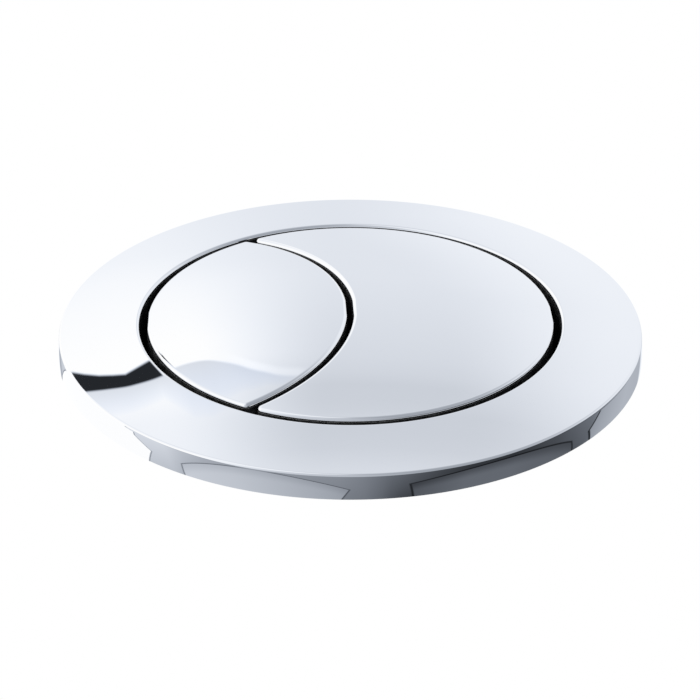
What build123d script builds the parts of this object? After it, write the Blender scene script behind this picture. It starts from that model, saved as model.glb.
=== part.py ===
from build123d import *
import math
import os

# A two-button flush actuator that is clamped in a round hole of a cistern lid.
# Millimetres. The origin is on the barrel's axis in the plane of the lid's top face, +Z points
# up out of the lid, and the small half-flush button lies towards -X.

# Bezel, the ring that covers the hole
BEZEL_R = 36.75  # outer radius where it meets the lid
BEZEL_DRAFT = 2.0  # degrees that its outer wall leans inwards
BEZEL_CROWN = 0.06  # how far that wall bulges in the middle of its height
BEZEL_BAND = 10.2  # width from its outer edge to the round opening that holds both buttons
BEZEL_DOME_R = 318.0  # crown radius of its top face
BEZEL_RIM_ROUND = 0.5
BEZEL_WALL = 1.5  # thickness of its outer wall
BEZEL_ROOF = 1.11  # thickness of its top at the rim
OPENING_ROUND = 0.4
LIP_WALL = 1.15  # thickness of the lip that hangs round the opening
LIP_DEPTH = 3.5  # how far the lip reaches below the lid's top face
LIP_CLEARANCE = 0.15  # between the lip and the counterbore that takes it

# Snap lugs that hold the bezel in the housing
SNAP_COUNT = 4
SNAP_FIRST_ANGLE = 45.0
SNAP_ARC = 12.0  # degrees of the lip that one lug covers
SNAP_REACH = 0.75  # how far a lug stands out of the lip
SNAP_HEIGHT = 1.2
SNAP_FOOT = 0.5  # length of lip below a lug
SNAP_CLEARANCE = 0.1
WINDOW_EXTRA_ARC = 2.0  # degrees that a lug's window is wider than the lug

# Buttons
BUTTON_GAP = 0.92  # between the opening and the buttons
BUTTON_DOME_R = 230.0  # crown radius that both buttons share
BUTTON_ROUND = 0.4
BUTTON_TRAVEL = 8.0
SPLIT_R = 25.68  # radius of the arc that parts the two buttons
SPLIT_GAP = 0.73
LENS_TIP_R = 0.7  # plan radius of the small button's two tips
HORN_TIP_R = 0.65  # plan radius of the large button's two horns
INNER_TIP_R = 0.6  # plan radius of the corners inside the caps
CAP_ROOF = 1.4
CAP_WALL = 1.7  # wall above the carrier's seat
SKIRT_WALL = 0.9  # wall that goes down round the carrier's plate
SKIRT_OVERHANG = 1.0  # how far the skirt reaches below that plate
SEAT_DROP = 3.1  # from the opening's edge down to the step that a plate seats against

# Carriers that the chromed caps are snapped on
PLATE_THICKNESS = 2.0
PLATE_CLEARANCE = 0.1
CATCH_WIDTH = 4.0  # the catch on the plate's edge and its window in the skirt
CATCH_HEIGHT = 1.0
CATCH_SINK = 0.25  # how far a catch stays inside the skirt's outer face
STEM_X = 12.5  # distance of both stems from the barrel's axis
STEM_R = 4.5
STEM_TAIL = 2.2  # length of stem below its clip
GUIDE_CLEARANCE = 0.1  # round the stems and the guide pins
PIN_R = 1.75
PIN_PROUD = 1.0  # how far a pin comes out under its bush
HALF_PIN_X = -12.5
HALF_PIN_Y = 12.5
FULL_PIN_X = 5.0
FULL_PIN_Y = 17.0
RIB_WIDTH = 1.4
RIB_DEPTH = 3.0
RIB_EDGE_MARGIN = 1.2  # from a rib's end to the edge of its plate
RIB_SPRING_GAP = 0.7

# Housing, a threaded barrel with a flange
NECK_WALL = 1.15  # wall of the barrel round the bezel's lip
BARREL_DEPTH = 32.0  # below the lid's top face
BARREL_CHAMFER = 0.8
THREAD_DEPTH = 0.8
RELIEF_WIDTH = 1.5  # smooth groove between the neck and the thread
FLANGE_GAP = 0.85  # between the flange and the bezel's outer wall
FLANGE_THICKNESS = 1.2
LEDGE_WIDTH = 1.4  # of the step inside the barrel that the guide plate rests on
LEDGE_HEIGHT = 1.0  # of that step's upright face, above its sloping underside
LUG_COUNT = 4  # lugs that keep the guide plate down
LUG_FIRST_ANGLE = 45.0
LUG_ARC = 10.0
LUG_REACH = 0.5
LUG_HEIGHT = 1.2
KEY_WIDTH = 3.0  # of the rib that keeps the guide plate from turning
KEY_REACH = 1.2

# Guide plate, the floor in the barrel that guides both buttons
FLOOR_THICKNESS = 2.0
FLOOR_CLEARANCE = 0.1  # round its edge
GUIDE_WALL = 1.8  # of the tubes that guide the stems
GUIDE_DEPTH = 10.0  # of those tubes below the floor
STOP_CLEARANCE = 0.3  # left above a guide tube when its button is fully down
BUSH_WALL = 1.6  # of the bushes that guide the pins
BUSH_DEPTH = 3.0  # of those bushes below the floor
WEB_THICKNESS = 1.6
WEB_DEPTH = 7.0

# Clamping to the lid
GASKET_THICKNESS = 0.9
GASKET_CLEARANCE = 0.3  # round the barrel
LID_THICKNESS = 12.0
CLAMP_WASHER_THICKNESS = 1.5
CLAMP_WASHER_WIDTH = 7.05
NUT_CLEARANCE = 0.15  # between the nut's and the barrel's thread
NUT_HEIGHT = 9.0
NUT_WALL = 4.25
NUT_LOBES = 10
NUT_LOBE_R = 3.0
NUT_CHAMFER = 0.6

# Return springs
SPRING_WIRE_R = 0.4
SPRING_TURNS = 4.5
SPRING_PRESSED = 5.0  # height left for a spring when its button is fully down
SPRING_GAP = 0.6  # from the guide tube to the spring's inside
SPRING_SEAT_GAP = 0.05

# Stop washers and clips under the guide tubes
STOP_WASHER_THICKNESS = 1.0
STOP_WASHER_R = 7.4
CLIP_THICKNESS = 0.8
CLIP_R = 6.4
CLIP_GROOVE_DEPTH = 0.7
CLIP_CLEARANCE = 0.05
CLIP_MOUTH = 6.4  # width of the clip's open side
CLIP_NOTCH_R = 0.9  # two notches inside the clip that ease it on
CLIP_NOTCH_ANGLES = (120, 240)

# Push rods
ROD_R = 2.5
ROD_CLEARANCE = 0.1
ROD_GRIP = 20.0  # length of rod inside the stem
ROD_FREE_LENGTH = 47.0  # from the stem's end to the rod's end
ROD_NUT_FLATS = 8.0
ROD_NUT_SIDES = 6
ROD_NUT_HEIGHT = 4.0
FOOT_R = 5.5
FOOT_HEIGHT = 6.0
FOOT_FLOOR = 2.0  # thickness under the rod's end
FOOT_ROUND = 1.0

# Room for cutters and for finding corners
THROUGH = 1.0  # how far a cutter runs past the face that it cuts
TOUCH = 0.01  # how near a corner lies to the point that names it


def sag(dome_r, r):
    """Drop of a dome below its apex, at radius r."""
    return dome_r - math.sqrt(dome_r**2 - r**2)


def bezel_z(r):
    """Height of the bezel's crowned top at radius r."""
    rim_z = FLANGE_TOP_Z + BEZEL_ROOF
    return rim_z + sag(BEZEL_DOME_R, BEZEL_R) - sag(BEZEL_DOME_R, r)


# Sizes that follow from those above
OPENING_R = BEZEL_R - BEZEL_BAND
BUTTON_R = OPENING_R - BUTTON_GAP
LIP_R = OPENING_R + LIP_WALL
COUNTERBORE_R = LIP_R + LIP_CLEARANCE
BARREL_R = COUNTERBORE_R + NECK_WALL
THREAD_ROOT_R = BARREL_R - THREAD_DEPTH
WALL_MIDDLE_R = (OPENING_R + THREAD_ROOT_R) / 2
LEDGE_R = OPENING_R - LEDGE_WIDTH
FLANGE_R = BEZEL_R - BEZEL_WALL - FLANGE_GAP
FLANGE_TOP_Z = GASKET_THICKNESS + FLANGE_THICKNESS
SNAP_BOTTOM_Z = SNAP_FOOT - LIP_DEPTH
SNAP_TOP_Z = SNAP_BOTTOM_Z + SNAP_HEIGHT
BUTTON_APEX_Z = bezel_z(OPENING_R) + sag(BUTTON_DOME_R, OPENING_R)
SEAT_Z = bezel_z(OPENING_R) - SEAT_DROP
PLATE_BOTTOM_Z = SEAT_Z - PLATE_THICKNESS
SKIRT_BOTTOM_Z = PLATE_BOTTOM_Z - SKIRT_OVERHANG
FLOOR_TOP_Z = PLATE_BOTTOM_Z - BUTTON_TRAVEL - SPRING_PRESSED
FLOOR_BOTTOM_Z = FLOOR_TOP_Z - FLOOR_THICKNESS
BUSH_BOTTOM_Z = FLOOR_BOTTOM_Z - BUSH_DEPTH
GUIDE_R = STEM_R + GUIDE_CLEARANCE
GUIDE_OUTER_R = GUIDE_R + GUIDE_WALL
GUIDE_TOP_Z = PLATE_BOTTOM_Z - BUTTON_TRAVEL - STOP_CLEARANCE
GUIDE_BOTTOM_Z = FLOOR_BOTTOM_Z - GUIDE_DEPTH
SPRING_R = GUIDE_OUTER_R + SPRING_GAP + SPRING_WIRE_R
CLIP_TOP_Z = GUIDE_BOTTOM_Z - STOP_WASHER_THICKNESS
CLIP_BOTTOM_Z = CLIP_TOP_Z - CLIP_THICKNESS
GROOVE_R = STEM_R - CLIP_GROOVE_DEPTH
STEM_BOTTOM_Z = CLIP_BOTTOM_Z - STEM_TAIL
ROD_TOP_Z = STEM_BOTTOM_Z + ROD_GRIP
ROD_BOTTOM_Z = STEM_BOTTOM_Z - ROD_FREE_LENGTH
ROD_BORE_R = ROD_R + ROD_CLEARANCE
NUT_BORE_R = BARREL_R + NUT_CLEARANCE
NUT_TOP_Z = -LID_THICKNESS - CLAMP_WASHER_THICKNESS
NUT_BOTTOM_Z = NUT_TOP_Z - NUT_HEIGHT
HALF_PINS = [(HALF_PIN_X, HALF_PIN_Y), (HALF_PIN_X, -HALF_PIN_Y)]
FULL_PINS = [(FULL_PIN_X, FULL_PIN_Y), (FULL_PIN_X, -FULL_PIN_Y)]
LENS_ENDS = (-BUTTON_R, -SPLIT_GAP / 2)  # where the small button's outline crosses the X axis
CRESCENT_ENDS = (SPLIT_GAP / 2, BUTTON_R)  # and the large button's


def slab(outline, bottom_z, top_z):
    """A plan outline extruded between two heights."""
    return Pos(0, 0, bottom_z) * extrude(outline, top_z - bottom_z)


def cylinder(r, bottom_z, top_z):
    return slab(Circle(r), bottom_z, top_z)


def ring(inner_r, outer_r, bottom_z, top_z):
    return slab(Circle(outer_r) - Circle(inner_r), bottom_z, top_z)


def bar(start, angle, length, width, bottom_z, top_z):
    """A straight rib that leaves a point in plan at an angle in degrees."""
    plan = Rectangle(length, width, align=(Align.MIN, Align.CENTER))
    return Pos(*start) * Rot(0, 0, angle) * slab(plan, bottom_z, top_z)


def profile(*points):
    """A closed face through points of (radius, height)."""
    return make_face(Polyline(*points, close=True))


def turned(face, arc=360):
    """A face of radius and height, turned about the Z axis and centred on +X."""
    return Rot(0, 0, -arc / 2) * revolve(Plane.XZ * face, Axis.Z, arc)


def around(solid, count, first_angle=0.0):
    """Copies of a solid at equal angles about the Z axis."""
    return [Rot(0, 0, first_angle + step * 360 / count) * solid for step in range(count)]


def round_corner(face, point, radius):
    """Rounds the corner of a face that lies at a point."""
    corner = [v for v in face.vertices() if math.dist((v.X, v.Y), point) < TOUCH]
    return fillet(corner, radius)


def make_bezel():
    """A domed ring with a hollow underside, a lip round its opening and snap lugs on the lip."""
    foot = (BEZEL_R, 0)
    rim_r = BEZEL_R - (FLANGE_TOP_Z + BEZEL_ROOF) * math.tan(math.radians(BEZEL_DRAFT))
    rim = (rim_r, bezel_z(rim_r))
    crown = ((BEZEL_R + rim_r) / 2 + BEZEL_CROWN, bezel_z(rim_r) / 2)
    middle_r = (rim_r + OPENING_R) / 2
    mouth = (OPENING_R, bezel_z(OPENING_R))
    wall_r = BEZEL_R - BEZEL_WALL
    outline = Curve() + [
        ThreePointArc(foot, crown, rim),
        ThreePointArc(rim, (middle_r, bezel_z(middle_r)), mouth),
        Polyline(
            mouth,
            (OPENING_R, -LIP_DEPTH),
            (LIP_R, -LIP_DEPTH),
            (LIP_R, FLANGE_TOP_Z),
            (wall_r, FLANGE_TOP_Z),
            (wall_r, 0),
            foot,
        ),
    ]
    section = round_corner(make_face(outline), rim, BEZEL_RIM_ROUND)
    section = round_corner(section, mouth, OPENING_ROUND)
    lip_middle_r = (OPENING_R + LIP_R) / 2
    wedge = profile(
        (lip_middle_r, SNAP_TOP_Z),
        (LIP_R + SNAP_REACH, SNAP_TOP_Z),
        (LIP_R, SNAP_BOTTOM_Z),
        (lip_middle_r, SNAP_BOTTOM_Z),
    )
    return turned(section) + around(turned(wedge, SNAP_ARC), SNAP_COUNT, SNAP_FIRST_ANGLE)


def make_housing():
    """A threaded barrel with a flange, a counterbored mouth and a ledge for the guide plate."""
    mouth_bottom_z = -LIP_DEPTH - SNAP_CLEARANCE
    thread_top_z = -LIP_DEPTH - RELIEF_WIDTH
    bevel = THREAD_DEPTH / 2
    ledge_bottom_z = FLOOR_BOTTOM_Z - LEDGE_HEIGHT
    shell = turned(
        profile(
            (COUNTERBORE_R, FLANGE_TOP_Z),
            (FLANGE_R, FLANGE_TOP_Z),
            (FLANGE_R, GASKET_THICKNESS),
            (BARREL_R, GASKET_THICKNESS),
            (BARREL_R, -LIP_DEPTH),
            (THREAD_ROOT_R, -LIP_DEPTH - bevel),
            (THREAD_ROOT_R, thread_top_z),
            (BARREL_R, thread_top_z - bevel),
            (BARREL_R, BARREL_CHAMFER - BARREL_DEPTH),
            (BARREL_R - BARREL_CHAMFER, -BARREL_DEPTH),
            (OPENING_R, -BARREL_DEPTH),
            (OPENING_R, ledge_bottom_z - LEDGE_WIDTH),
            (LEDGE_R, ledge_bottom_z),
            (LEDGE_R, FLOOR_BOTTOM_Z),
            (OPENING_R, FLOOR_BOTTOM_Z),
            (OPENING_R, mouth_bottom_z),
            (COUNTERBORE_R, mouth_bottom_z),
        )
    )
    window = turned(
        profile(
            (LIP_R, SNAP_TOP_Z + SNAP_CLEARANCE),
            (BARREL_R + THROUGH, SNAP_TOP_Z + SNAP_CLEARANCE),
            (BARREL_R + THROUGH, SNAP_BOTTOM_Z),
            (LIP_R, SNAP_BOTTOM_Z),
        ),
        SNAP_ARC + WINDOW_EXTRA_ARC,
    )
    lug_bottom_z = FLOOR_TOP_Z + SNAP_CLEARANCE
    lug = turned(
        profile(
            (WALL_MIDDLE_R, lug_bottom_z),
            (OPENING_R - LUG_REACH, lug_bottom_z),
            (OPENING_R, lug_bottom_z + LUG_HEIGHT),
            (WALL_MIDDLE_R, lug_bottom_z + LUG_HEIGHT),
        ),
        LUG_ARC,
    )
    body = shell - around(window, SNAP_COUNT, SNAP_FIRST_ANGLE)
    return body + around(lug, LUG_COUNT, LUG_FIRST_ANGLE) + plate_key(0)


def plate_key(growth):
    """The upright rib inside the barrel at +Y, or with growth the notch that takes it."""
    start_y = OPENING_R - KEY_REACH - growth
    length = WALL_MIDDLE_R - start_y
    width = KEY_WIDTH + 2 * growth
    return bar((0, start_y), 90, length, width, FLOOR_BOTTOM_Z, FLOOR_TOP_Z)


def make_guide_plate():
    """A plate with a tube for each stem, a bush for each guide pin and a web under its middle."""
    stems = [Pos(-STEM_X, 0), Pos(STEM_X, 0)]
    pins = [Pos(*place) for place in HALF_PINS + FULL_PINS]
    pin_bore_r = PIN_R + GUIDE_CLEARANCE
    guide = cylinder(GUIDE_OUTER_R, GUIDE_BOTTOM_Z, GUIDE_TOP_Z)
    guide_bore = cylinder(GUIDE_R, GUIDE_BOTTOM_Z - THROUGH, GUIDE_TOP_Z + THROUGH)
    bush = cylinder(pin_bore_r + BUSH_WALL, BUSH_BOTTOM_Z, FLOOR_TOP_Z)
    bush_bore = cylinder(pin_bore_r, BUSH_BOTTOM_Z - THROUGH, FLOOR_TOP_Z + THROUGH)
    web_r = LEDGE_R - FLOOR_CLEARANCE
    web_bottom_z = FLOOR_BOTTOM_Z - WEB_DEPTH
    plate = cylinder(OPENING_R - FLOOR_CLEARANCE, FLOOR_BOTTOM_Z, FLOOR_TOP_Z)
    plate += bar((-web_r, 0), 0, 2 * web_r, WEB_THICKNESS, web_bottom_z, FLOOR_BOTTOM_Z)
    plate += [place * guide for place in stems] + [place * bush for place in pins]
    plate -= [place * guide_bore for place in stems] + [place * bush_bore for place in pins]
    return plate - plate_key(FLOOR_CLEARANCE)


def make_gasket():
    """A flat seal between the flange and the lid."""
    return ring(BARREL_R + GASKET_CLEARANCE, FLANGE_R, 0, GASKET_THICKNESS)


def make_clamp_washer():
    """A wide washer that the nut presses against the lid's underside."""
    return ring(NUT_BORE_R, NUT_BORE_R + CLAMP_WASHER_WIDTH, NUT_TOP_Z, -LID_THICKNESS)


def make_lock_nut():
    """A lobed hand nut on the barrel's thread."""
    nut_r = NUT_BORE_R + NUT_WALL
    reach = nut_r + NUT_LOBE_R
    lobe = Pos(nut_r, 0) * cylinder(NUT_LOBE_R, NUT_BOTTOM_Z, NUT_TOP_Z)
    blank = cylinder(nut_r, NUT_BOTTOM_Z, NUT_TOP_Z) + around(lobe, NUT_LOBES)
    chamfered = turned(
        profile(
            (NUT_BORE_R, NUT_TOP_Z),
            (reach - NUT_CHAMFER, NUT_TOP_Z),
            (reach, NUT_TOP_Z - NUT_CHAMFER),
            (reach, NUT_BOTTOM_Z + NUT_CHAMFER),
            (reach - NUT_CHAMFER, NUT_BOTTOM_Z),
            (NUT_BORE_R + NUT_CHAMFER, NUT_BOTTOM_Z),
            (NUT_BORE_R, NUT_BOTTOM_Z + NUT_CHAMFER),
        )
    )
    return blank & chamfered


def lens_outline(inset, tip_r):
    """Plan of the small button: where the round opening and the parting circle overlap."""
    parting = Pos(-SPLIT_R, 0) * Circle(SPLIT_R - SPLIT_GAP / 2 - inset)
    lens = Circle(BUTTON_R - inset) & parting
    return fillet(lens.vertices(), tip_r)


def crescent_outline(inset, tip_r):
    """Plan of the large button: the round opening less the parting circle."""
    parting = Pos(-SPLIT_R, 0) * Circle(SPLIT_R + SPLIT_GAP / 2 + inset)
    crescent = Circle(BUTTON_R - inset) - parting
    return fillet(crescent.vertices(), tip_r)


def catch_boxes(ends, growth):
    """Boxes at both ends of a button's middle line, for its catches or their windows."""
    reach = SKIRT_WALL + PLATE_CLEARANCE + CAP_WALL
    box = Box(2 * reach, CATCH_WIDTH + 2 * growth, CATCH_HEIGHT + 2 * growth)
    middle_z = (SEAT_Z + PLATE_BOTTOM_Z) / 2
    return [Pos(end_x, 0, middle_z) * box for end_x in ends]


def make_cap(outline, tip_r, ends):
    """A domed cap with a stepped skirt, where a carrier's plate seats, and two catch windows."""
    centre = Pos(0, 0, BUTTON_APEX_Z - BUTTON_DOME_R)
    above_z = BUTTON_APEX_Z + THROUGH
    cap = slab(outline(0, tip_r), SKIRT_BOTTOM_Z, above_z) & centre * Sphere(BUTTON_DOME_R)
    cap = fillet(cap.faces().filter_by(GeomType.SPHERE).edges(), BUTTON_ROUND)
    ceiling = centre * Sphere(BUTTON_DOME_R - CAP_ROOF)
    cap -= slab(outline(CAP_WALL, INNER_TIP_R), SEAT_Z, above_z) & ceiling
    cap -= slab(outline(SKIRT_WALL, INNER_TIP_R), SKIRT_BOTTOM_Z - THROUGH, SEAT_Z)
    return cap - catch_boxes(ends, SNAP_CLEARANCE)


def make_stem():
    """A tube with a groove for its clip and a bore for its push rod, on the Z axis."""
    groove_bottom_z = CLIP_BOTTOM_Z - CLIP_CLEARANCE
    stem = cylinder(STEM_R, STEM_BOTTOM_Z, PLATE_BOTTOM_Z)
    stem -= ring(GROOVE_R, STEM_R + THROUGH, groove_bottom_z, CLIP_TOP_Z)
    return stem - cylinder(ROD_BORE_R, STEM_BOTTOM_Z - THROUGH, ROD_TOP_Z)


def make_carrier(outline, stem_x, pins, ends):
    """A ribbed plate with a stem, two guide pins and catches for its cap."""
    plate_inset = SKIRT_WALL + PLATE_CLEARANCE
    plate = slab(outline(plate_inset, INNER_TIP_R), PLATE_BOTTOM_Z, SEAT_Z)
    catches = slab(outline(CATCH_SINK, INNER_TIP_R), PLATE_BOTTOM_Z, SEAT_Z)
    carrier = plate + [catches & box for box in catch_boxes(ends, 0)]
    rib_bottom_z = PLATE_BOTTOM_Z - RIB_DEPTH
    rib_space = slab(outline(plate_inset + RIB_EDGE_MARGIN, INNER_TIP_R), rib_bottom_z, SEAT_Z)
    spring_space_r = SPRING_R + SPRING_WIRE_R + RIB_SPRING_GAP
    rib_space -= Pos(stem_x, 0) * cylinder(spring_space_r, rib_bottom_z - THROUGH, PLATE_BOTTOM_Z)
    rib_angles = [math.degrees(math.atan2(y, x - stem_x)) for x, y in pins]
    for angle in [*rib_angles, 0, 180]:
        rib = bar((stem_x, 0), angle, 2 * BUTTON_R, RIB_WIDTH, rib_bottom_z, SEAT_Z)
        carrier += rib & rib_space
    pin = cylinder(PIN_R, BUSH_BOTTOM_Z - PIN_PROUD, PLATE_BOTTOM_Z)
    carrier += [Pos(*place) * pin for place in pins]
    return carrier + Pos(stem_x, 0) * make_stem()


def make_spring():
    """A coil of round wire between the guide plate and a carrier's plate."""
    bottom_z = FLOOR_TOP_Z + SPRING_WIRE_R + SPRING_SEAT_GAP
    rise = PLATE_BOTTOM_Z - SPRING_WIRE_R - SPRING_SEAT_GAP - bottom_z
    path = Helix(rise / SPRING_TURNS, rise, SPRING_R)
    section = Plane(path @ 0, z_dir=path % 0) * Circle(SPRING_WIRE_R)
    return Pos(0, 0, bottom_z) * sweep(section, path)


def make_stop_washer():
    """A flat washer that meets the guide tube's end when the button is up."""
    return ring(GUIDE_R, STOP_WASHER_R, CLIP_TOP_Z, GUIDE_BOTTOM_Z)


def make_clip():
    """An open retaining clip in the stem's groove."""
    inner_r = GROOVE_R + CLIP_CLEARANCE
    mouth = Rectangle(2 * CLIP_R, CLIP_MOUTH, align=(Align.MIN, Align.CENTER))
    notch = Pos(inner_r, 0) * Circle(CLIP_NOTCH_R)
    notches = [Rot(0, 0, angle) * notch for angle in CLIP_NOTCH_ANGLES]
    return slab(Circle(CLIP_R) - Circle(inner_r) - mouth - notches, CLIP_BOTTOM_Z, CLIP_TOP_Z)


def make_rod():
    """A push rod that is screwed into a stem from below."""
    return cylinder(ROD_R, ROD_BOTTOM_Z, ROD_TOP_Z)


def make_rod_nut():
    """A hexagon nut that locks the rod against the stem's end."""
    hexagon = RegularPolygon(ROD_NUT_FLATS / 2, ROD_NUT_SIDES, major_radius=False)
    return slab(hexagon - Circle(ROD_BORE_R), STEM_BOTTOM_Z - ROD_NUT_HEIGHT, STEM_BOTTOM_Z)


def make_rod_foot():
    """A blunt foot on the rod's end that bears on the flush valve."""
    bottom_z = ROD_BOTTOM_Z - FOOT_FLOOR
    top_z = bottom_z + FOOT_HEIGHT
    foot = cylinder(FOOT_R, bottom_z, top_z)
    foot = fillet(foot.edges().filter_by(GeomType.CIRCLE), FOOT_ROUND)
    return foot - cylinder(ROD_BORE_R, ROD_BOTTOM_Z, top_z + THROUGH)


nodes = {
    "bezel": make_bezel(),
    "housing": make_housing(),
    "guide_plate": make_guide_plate(),
    "lid_gasket": make_gasket(),
    "clamp_washer": make_clamp_washer(),
    "lock_nut": make_lock_nut(),
    "half_flush_cap": make_cap(lens_outline, LENS_TIP_R, LENS_ENDS),
    "full_flush_cap": make_cap(crescent_outline, HORN_TIP_R, CRESCENT_ENDS),
    "half_flush_carrier": make_carrier(lens_outline, -STEM_X, HALF_PINS, LENS_ENDS),
    "full_flush_carrier": make_carrier(crescent_outline, STEM_X, FULL_PINS, CRESCENT_ENDS),
}
for button, stem_x in (("half_flush", -STEM_X), ("full_flush", STEM_X)):
    nodes[f"{button}_spring"] = Pos(stem_x, 0) * make_spring()
    nodes[f"{button}_stop_washer"] = Pos(stem_x, 0) * make_stop_washer()
    nodes[f"{button}_clip"] = Pos(stem_x, 0) * make_clip()
    nodes[f"{button}_rod"] = Pos(stem_x, 0) * make_rod()
    nodes[f"{button}_rod_nut"] = Pos(stem_x, 0) * make_rod_nut()
    nodes[f"{button}_rod_foot"] = Pos(stem_x, 0) * make_rod_foot()

os.makedirs("parts", exist_ok=True)
for name, solid in nodes.items():
    export_step(solid, f"parts/{name}.step")
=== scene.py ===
import math

import bpy
from mathutils import Matrix, Vector
from mathutils.geometry import delaunay_2d_cdt


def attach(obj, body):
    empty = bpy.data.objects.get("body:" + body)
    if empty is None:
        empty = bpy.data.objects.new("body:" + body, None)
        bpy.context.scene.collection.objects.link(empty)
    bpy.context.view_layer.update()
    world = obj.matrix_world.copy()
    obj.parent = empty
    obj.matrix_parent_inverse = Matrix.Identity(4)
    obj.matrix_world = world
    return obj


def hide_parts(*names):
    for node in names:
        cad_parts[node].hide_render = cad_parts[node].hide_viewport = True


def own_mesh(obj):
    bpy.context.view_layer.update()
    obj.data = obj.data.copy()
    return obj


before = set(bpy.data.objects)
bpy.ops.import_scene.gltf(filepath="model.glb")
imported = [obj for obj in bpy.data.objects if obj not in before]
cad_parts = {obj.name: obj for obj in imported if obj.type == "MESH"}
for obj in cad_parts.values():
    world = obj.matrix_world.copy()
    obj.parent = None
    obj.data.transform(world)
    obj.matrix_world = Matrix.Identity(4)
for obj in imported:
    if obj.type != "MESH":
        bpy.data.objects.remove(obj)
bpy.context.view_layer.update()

# Lengths are in millimetres in the part's frame, and become metres when a mesh is made.
MM = 0.001

# Bezel
BEZEL_R = 36.75
BEZEL_DRAFT = 2.0
BEZEL_CROWN = 0.06
BEZEL_BAND = 10.2
BEZEL_DOME_R = 318.0
BEZEL_RIM_ROUND = 0.4
BEZEL_WALL = 1.5
BEZEL_ROOF = 1.11
OPENING_ROUND = 0.4
LIP_WALL = 1.15
LIP_DEPTH = 3.5
LIP_CLEARANCE = 0.15
SNAP_ANGLES = (45, 135, 225, 315)
SNAP_ARC = 12.0
SNAP_REACH = 0.75
SNAP_HEIGHT = 1.2
SNAP_FOOT = 0.5
SNAP_CLEARANCE = 0.1
WINDOW_ARC = 14.0

# Buttons
BUTTON_GAP = 0.92
BUTTON_DOME_R = 230.0
BUTTON_ROUND = 0.5
BUTTON_TRAVEL = 8.0
SPLIT_R = 25.68
SPLIT_GAP = 0.73
LENS_TIP_R = 0.7
HORN_TIP_R = 0.65
INNER_TIP_R = 0.6
CAP_ROOF = 1.4
CAP_WALL = 1.7
SKIRT_WALL = 0.9
SKIRT_OVERHANG = 1.0
SEAT_DROP = 3.1
PLATE_THICKNESS = 2.0
CATCH_WINDOW_WIDTH = 4.2
CATCH_WINDOW_HEIGHT = 1.2
STEM_X = 12.5
STEM_BELOW_GUIDE = 4.0

# Housing
NECK_WALL = 1.15
BARREL_DEPTH = 32.0
BARREL_CHAMFER = 0.8
THREAD_DEPTH = 0.8
THREAD_PITCH = 3.0
THREAD_CREST = 0.2
RELIEF_WIDTH = 1.5
FLANGE_GAP = 0.85
FLANGE_THICKNESS = 1.2
LEDGE_WIDTH = 1.4
LEDGE_HEIGHT = 1.0
LUG_ARC = 10.0
LUG_REACH = 0.5
LUG_HEIGHT = 1.2
KEY_WIDTH = 3.0
KEY_REACH = 1.2
FLOOR_THICKNESS = 2.0
GUIDE_DEPTH = 10.0

# Clamping parts
GASKET_THICKNESS = 0.9
GASKET_CLEARANCE = 0.3
RUBBER_ROUND = 0.2
LID_THICKNESS = 12.0
CLAMP_WASHER_THICKNESS = 1.5
CLAMP_WASHER_WIDTH = 7.05
NUT_CLEARANCE = 0.15
NUT_HEIGHT = 9.0
NUT_WALL = 4.25
NUT_LOBES = 10
NUT_LOBE_R = 3.0
NUT_ROOT_R = 0.8
NUT_ROUND = 0.6
NUT_THREAD_DEPTH = 0.7

# Springs and rods
SPRING_R = 7.4
SPRING_WIRE_R = 0.4
SPRING_TURNS = 5.5
SPRING_CLOSED = 1.0
SPRING_CLOSED_SLOPE = 0.27
SPRING_SEAT_GAP = 0.05
SPRING_PRESSED = 5.0
ROD_R = 2.5
ROD_BORE_R = 2.6
ROD_GRIP = 20.0
ROD_FREE_LENGTH = 47.0
ROD_PITCH = 0.8
ROD_THREAD_DEPTH = 0.45
ROD_POINT = 0.5
ROD_NUT_FLATS = 8.0
ROD_NUT_HEIGHT = 4.0
HEX_SIDES = 6
HEX_BEVEL = 30.0
HEX_BEVEL_SHARE = 0.96
FOOT_R = 5.5
FOOT_HEIGHT = 6.0
FOOT_FLOOR = 2.0
FOOT_ROUND = 1.0

# How finely round forms are divided
TURN_STEPS = 360
HOUSING_STEPS = 180
ROD_STEPS = 28
FOOT_STEPS = 64
ROUND_STEPS = 6
DOME_STEPS = 16
DOME_GRID = 1.5
DOME_MERGE = 1e-6
THREAD_ROWS = 16
ROD_THREAD_ROWS = 8
SPRING_STEPS = 48
WIRE_STEPS = 12
HEX_STEPS = 12

# Materials
CHROME_GREY = 0.95
CHROME_ROUGH = (0.012, 0.035)
HAZE = (9.0, 4.0)  # size and detail of the patches in the polish
HAZE_SPAN = (0.35, 0.75)
# Painted shade deep in the gaps round the buttons: its grey, roughness, grain and noise span
GAP_SHADE_GREY = (0.004, 0.035)
GAP_SHADE_ROUGH = 0.5
GAP_SHADE_GRAIN = (1.2, 3.0)
GAP_SHADE_SPAN = (0.35, 0.7)
GAP_SHADE_FADE = 0.08  # depth over which the chrome gives way to the painted shade
GAP_SHADE_REACH = (0.2, 0.1)  # how far the painted shade reaches past the opening's edge
NOISE_SPAN = (0.3, 0.7)

# Camera, lights and floor; the studio is turned with the camera about the part's axis
STUDIO_TURN = -1.86
CAMERA_TARGET = Vector((-0.049, -7.175, 3.505))
CAMERA_ELEVATION = 28.69
CAMERA_DISTANCE = 349.3
CAMERA_LENS = 144.93
KEY_LIGHT = Vector((-260, -220, 320))
KEY_POWER = 1.2
LOW_LIGHT = Vector((240, -320, -160))
LOW_POWER = 0.8
LIGHT_SIZE = 260.0
LIGHT_TARGET = Vector((0, 0, -20))
FLOOR_R = 700.0
FLOOR_HOLE_R = 34.5
FLOOR_Z = -0.02
FLOOR_STEPS = 96

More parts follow.
